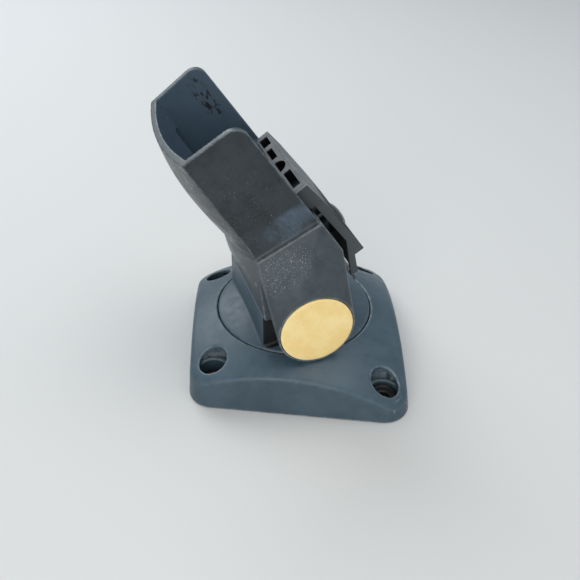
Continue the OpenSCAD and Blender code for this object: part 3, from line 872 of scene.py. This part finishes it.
def moulded_plastic(name, axes, dark, light, rough, marks_and_painted_light=(), specks=(), scratches=(), grain=0.03,
                    edge=(0.16, 0.185, 0.20), inside=None, painted_shade_boxes=()):
    """Grained, mottled plastic with edges lightened as wear and as painted highlights, and hollows
    darkened as painted shade. The soft patches are scuffs, painted shade and painted sheen,
    specks and scratches are wear, inside is a centre and a tint painted as light on the faces
    that look towards it, and the shade boxes, as centre and half size, hold faces painted
    black as shade."""
    made, tree, shader = new_material(name)
    point = axes(tree)
    broad = noise(tree, point, 0.035, 3)
    blotch = noise(tree, point, 0.16, 6, 0.65)
    fine = noise(tree, point, 2.2, 3, 0.6)
    tone = maths(tree, "ADD", maths(tree, "MULTIPLY", broad, 0.55),
                 maths(tree, "MULTIPLY", blotch, 0.45))
    colour = mix(tree, ramp(tree, tone, 0.36, 0.64), rgba(*dark), rgba(*light))
    # Faces that look towards the given centre take a lighter tint: painted light on inner walls
    if inside:
        colour = mix(tree, faces_inward(tree, inside[0]), colour, rgba(*inside[1]))
    gloss = ramp(tree, blotch, 0.3, 0.7, rough - 0.07, rough + 0.1)
    # Soft patches of a given tint: scuffs, and also painted shade and painted sheen
    for centre, reach, tint, density, scale, fade in marks_and_painted_light:
        streaks = noise(tree, point, scale, 5, 0.7, (1.0, 1.0, 0.45))
        patch_mask = maths(tree, "MULTIPLY", ramp(tree, streaks, density, density + fade),
                     patch(tree, point, centre, reach))
        colour = mix(tree, patch_mask, colour, rgba(*tint))
        gloss = maths(tree, "ADD", gloss, maths(tree, "MULTIPLY", patch_mask, 0.12))
    for centre, reach, tint, density in specks:
        dots = noise(tree, point, 1.8, 2, 0.8)
        patch_mask = maths(tree, "MULTIPLY", ramp(tree, dots, density, density + 0.04),
                     patch(tree, point, centre, reach))
        colour = mix(tree, patch_mask, colour, rgba(*tint))
    for centre, reach, stretch, tint, density in scratches:
        lines = noise(tree, point, 0.9, 3, 0.7, stretch)
        patch_mask = maths(tree, "MULTIPLY", ramp(tree, lines, density, density + 0.03),
                     patch(tree, point, centre, reach))
        colour = mix(tree, maths(tree, "MULTIPLY", patch_mask, 0.7), colour, rgba(*tint))
    if edge:
        # Convex edges lightened with a broken tint: edge wear and painted highlights
        convex = add(tree, "NewGeometry").outputs["Pointiness"]
        edge_wear_and_highlight = maths(tree, "MULTIPLY", ramp(tree, convex, 0.504, 0.535),
                       ramp(tree, noise(tree, point, 0.3, 4, 0.6), 0.36, 0.6, 0.3, 1.0))
        colour = mix(tree, edge_wear_and_highlight, colour, rgba(*edge))
        # Concave hollows darkened towards near black: painted shade
        painted_hollow_shade = ramp(tree, convex, 0.495, 0.46)
        hollow = rgba(*[c * 0.35 for c in dark])
        colour = mix(tree, maths(tree, "MULTIPLY", painted_hollow_shade, 0.7), colour, hollow)
    # Faces inside each box are painted near black: painted shade
    for centre, half in painted_shade_boxes:
        colour = mix(tree, block(tree, point, centre, half), colour, rgba(0.004, 0.005, 0.006))
    tree.links.new(colour, shader.inputs["Base Color"])
    tree.links.new(gloss, shader.inputs["Roughness"])
    tree.links.new(bumped(tree, fine, grain), shader.inputs["Normal"])
    shader.inputs["IOR"].default_value = 1.45
    return made


def pad_material():
    made, tree, shader = new_material("pad_cream")
    point = in_arm_axes(tree)
    broad = noise(tree, point, 0.09, 4)
    fibre = noise(tree, point, 1.6, 5, 0.7)
    colour = mix(tree, ramp(tree, broad, 0.35, 0.65), rgba(0.93, 0.68, 0.27),
                 rgba(0.99, 0.77, 0.36))
    spots = ramp(tree, noise(tree, point, 0.8, 2, 0.7), 0.68, 0.74)
    colour = mix(tree, maths(tree, "MULTIPLY", spots, 0.5), colour, rgba(0.72, 0.42, 0.14))
    tree.links.new(colour, shader.inputs["Base Color"])
    tree.links.new(ramp(tree, fibre, 0.3, 0.7, 0.55, 0.72), shader.inputs["Roughness"])
    tree.links.new(bumped(tree, fibre, 0.05), shader.inputs["Normal"])
    return made


def metal_material(name, tint, rough):
    """Metal with fine lines across z, as turning leaves."""
    made, tree, shader = new_material(name)
    point = in_base_axes(tree)
    lines = noise(tree, point, 0.9, 4, 0.7, (1, 1, 6))
    colour = mix(tree, ramp(tree, lines, 0.35, 0.7), rgba(*[c * 0.75 for c in tint]), rgba(*tint))
    tree.links.new(colour, shader.inputs["Base Color"])
    gloss = ramp(tree, lines, 0.3, 0.7, rough - 0.06, rough + 0.12)
    tree.links.new(gloss, shader.inputs["Roughness"])
    tree.links.new(bumped(tree, lines, 0.02), shader.inputs["Normal"])
    shader.inputs["Metallic"].default_value = 1.0
    return made


def paint(piece, made):
    """Gives every slot of a piece one material."""
    piece.data.materials.clear()
    piece.data.materials.append(made)


# ---- the pieces ----

base_plastic = moulded_plastic(
    "base_plastic", in_base_axes, (0.040, 0.068, 0.090), (0.058, 0.094, 0.120), 0.40,
    # Soft near-black patches in the counterbores: painted shade
    marks_and_painted_light=[((x, side * y, COUNTERBORE_Z + 0.5), (9.5, 9.5, 4), (0.006, 0.008, 0.010), -1, 0.5, 0.1)
           for x, y in (FRONT_HOLE, REAR_HOLE) for side in (-1, 1)],
    specks=[((-62, -20, 10), (12, 60, 16), (0.012, 0.015, 0.018), 0.71)],
    # Lighter edges: edge wear and painted highlights, as along the dome's crease
    edge=(0.16, 0.20, 0.22),
    # Near-black boxes over the counterbore floors and screw holes: painted shade
    painted_shade_boxes=[((x, side * y, COUNTERBORE_Z - 2), (8, 8, 2.9))
            for x, y in (FRONT_HOLE, REAR_HOLE) for side in (-1, 1)])
turntable_plastic = moulded_plastic(
    "turntable_plastic", in_head_axes, (0.039, 0.065, 0.086), (0.056, 0.090, 0.114), 0.42,
    # Lighter edges: edge wear and painted highlights
    edge=(0.115, 0.15, 0.17),
    # Near-black strips on the saddle's sides, in the gaps by the cheeks: painted shade
    painted_shade_boxes=[((0, side * (SADDLE_HALF + 1.1), -9), (22.9, 1.4, 10.5)) for side in (-1, 1)])
# The default edge tint and hollow darkening: edge wear, painted highlights and painted shade
arm_plastic = moulded_plastic(
    "arm_plastic", in_arm_axes, (0.034, 0.046, 0.054), (0.057, 0.073, 0.083), 0.36,
    marks_and_painted_light=[((10, -38, 22), (24, 10, 16), (0.085, 0.10, 0.11), 0.42, 0.12, 0.3)],
    specks=[((8, -39, 34), (24, 9, 14), (0.46, 0.49, 0.50), 0.63)],
    scratches=[((12, -44, 18), (12, 8, 12), (0.25, 1.0, 3.0), (0.22, 0.25, 0.27), 0.70)])
# The point the socket's inner walls face; they take a lighter tint, painted light
SOCKET_CENTRE = ARM @ Vector((16, 0, 82)) * MM
socket_plastic = moulded_plastic(
    "socket_plastic", in_arm_axes, (0.012, 0.018, 0.021), (0.026, 0.036, 0.041), 0.33,
    marks_and_painted_light=[((26, 36, 94), (5.5, 6, 18), (0.004, 0.004, 0.005), 0.5, 0.55, 0.1),
           # A broad bluish patch low on the near wall: painted sheen
           ((22, -39, 54), (20, 7, 9), (0.075, 0.11, 0.15), 0.32, 0.1, 0.4)],
    specks=[((12, -38, 75), (22, 8, 34), (0.25, 0.27, 0.28), 0.67)],
    scratches=[((4, -37, 58), (10, 6, 10), (1.0, 1.0, 0.2), (0.35, 0.37, 0.36), 0.70)],
    # The inner walls' lighter bluish tint is painted light; the edge tint is edge wear and painted
    # highlights
    inside=(SOCKET_CENTRE, (0.050, 0.078, 0.106)), edge=(0.10, 0.125, 0.14))
carrier_plastic = moulded_plastic(
    "carrier_plastic", in_arm_axes, (0.075, 0.082, 0.084), (0.115, 0.122, 0.122), 0.5, edge=None,
    # A near-black box inside the key slots: painted shade
    painted_shade_boxes=[((35.75, 0.6, CARRIER_HIGH - 4), (2.6, 26.7, 3.4))])
cover_plastic = moulded_plastic(
    "cover_plastic", in_arm_axes, (0.046, 0.055, 0.060), (0.064, 0.074, 0.079), 0.42, edge=None,
    specks=[((42, 0, 32), (5, 32, 30), (0.20, 0.22, 0.23), 0.71)],
    scratches=[((42, 6, 30), (5, 26, 24), (1.0, 0.15, 1.2), (0.14, 0.155, 0.16), 0.72)])
acetal = moulded_plastic("acetal", in_base_axes, (0.75, 0.73, 0.66), (0.85, 0.83, 0.76), 0.35,
                         edge=None)
rubber = moulded_plastic("friction_rubber", in_arm_axes, (0.012, 0.012, 0.012),
                         (0.025, 0.025, 0.025), 0.7, grain=0.06, edge=None)
steel = metal_material("steel", (0.56, 0.57, 0.58), 0.34)
black_steel = metal_material("black_steel", (0.15, 0.155, 0.16), 0.28)
brass = metal_material("brass", (0.72, 0.50, 0.22), 0.32)

shell = stand_for(base_shell(), "base", "base_plastic", "base_plate")
ribs = stand_for(base_ribs(), "base", "base_plastic")
table = stand_for(turntable(), "turntable", "turntable_plastic", "turntable")
arm = stand_for(arm_body(), "tilt_arm", "arm_plastic", "tilt_arm")
socket = stand_for(socket_body(), "tilt_arm", "socket_plastic", "socket_shell")
carrier = stand_for(carrier_body(), "tilt_arm", "carrier_plastic", "connector_carrier")
cover = stand_for(cover_body(), "rear_cover", "cover_plastic", "rear_cover")
screw = stand_for(cover_screw(), "rear_cover", "steel", "cover_screw")
pads = [stand_for(boss_pad(-1), "tilt_arm", "pad", "boss_pad_near"),
        stand_for(boss_pad(1), "tilt_arm", "pad", "boss_pad_far")]

for piece, made in ((shell, base_plastic), (ribs, base_plastic), (table, turntable_plastic),
                    (arm, arm_plastic), (socket, socket_plastic), (carrier, carrier_plastic),
                    (cover, cover_plastic), (screw, black_steel)):
    paint(piece, made)
cream = pad_material()
for pad in pads:
    paint(pad, cream)
KEPT = {"thrust_ring": acetal, "friction_disc_near": rubber, "friction_disc_far": rubber,
        "swivel_insert": brass, "cover_insert": brass, "swivel_bolt": steel,
        "swivel_washer": steel, "spring_washer": steel, "tilt_sleeve": steel, "tilt_bolt": steel,
        "tilt_nut": steel, "bolt_washer": steel, "nut_washer": steel, "socket_screws": steel,
        "carrier_screws": steel}
for name, made in KEPT.items():
    node = frame["nodes"][name]
    if not node.material_slots:
        node.data.materials.append(made)
    for slot in node.material_slots:
        slot.material = made

# ---- floor, light and camera ----

bpy.ops.mesh.primitive_plane_add(size=6)
floor = bpy.context.object
floor.name = "floor"
floor_paint, _, floor_shader = new_material("floor_pale")
floor_shader.inputs["Base Color"].default_value = rgba(0.62, 0.61, 0.59)
floor_shader.inputs["Roughness"].default_value = 0.7
floor.data.materials.append(floor_paint)

world = bpy.data.worlds.new("studio")
bpy.context.scene.world = world
world.use_nodes = True
world.node_tree.nodes["Background"].inputs["Color"].default_value = rgba(0.80, 0.90, 1.0)
world.node_tree.nodes["Background"].inputs["Strength"].default_value = 0.46


def soft_light(name, place, target, size, power, tint=(1, 1, 1)):
    data = bpy.data.lights.new(name, "AREA")
    data.size = size
    data.energy = power
    data.color = tint
    lamp = bpy.data.objects.new(name, data)
    lamp.location = place
    lamp.rotation_euler = (Vector(target) - Vector(place)).to_track_quat("-Z", "Y").to_euler()
    bpy.context.scene.collection.objects.link(lamp)


soft_light("window", (-0.55, 0.75, 0.85), (0, 0, 0.06), 0.9, 9, (0.90, 0.96, 1.0))
soft_light("overhead", (0.25, -0.1, 1.1), (0, 0, 0.05), 0.8, 4.5)
soft_light("near_fill", (-0.2, -0.9, 0.45), (0, 0, 0.06), 0.6, 4.2, (1.0, 0.98, 0.95))

camera_data = bpy.data.cameras.new("camera")
camera_data.sensor_width = 36
camera_data.lens = 46.1
camera_data.shift_x = 0.0504
camera = bpy.data.objects.new("camera", camera_data)
camera.rotation_mode = "QUATERNION"
camera.location = (-0.01856, -0.33204, 0.28735)
pitch = Matrix.Rotation(math.radians(90 - 36.75), 3, "X")
roll = Matrix.Rotation(math.radians(-0.55), 3, "Z")
camera.rotation_quaternion = (pitch @ roll).to_quaternion()
bpy.context.scene.collection.objects.link(camera)
bpy.context.scene.camera = camera
bpy.context.scene.view_settings.view_transform = "Standard"
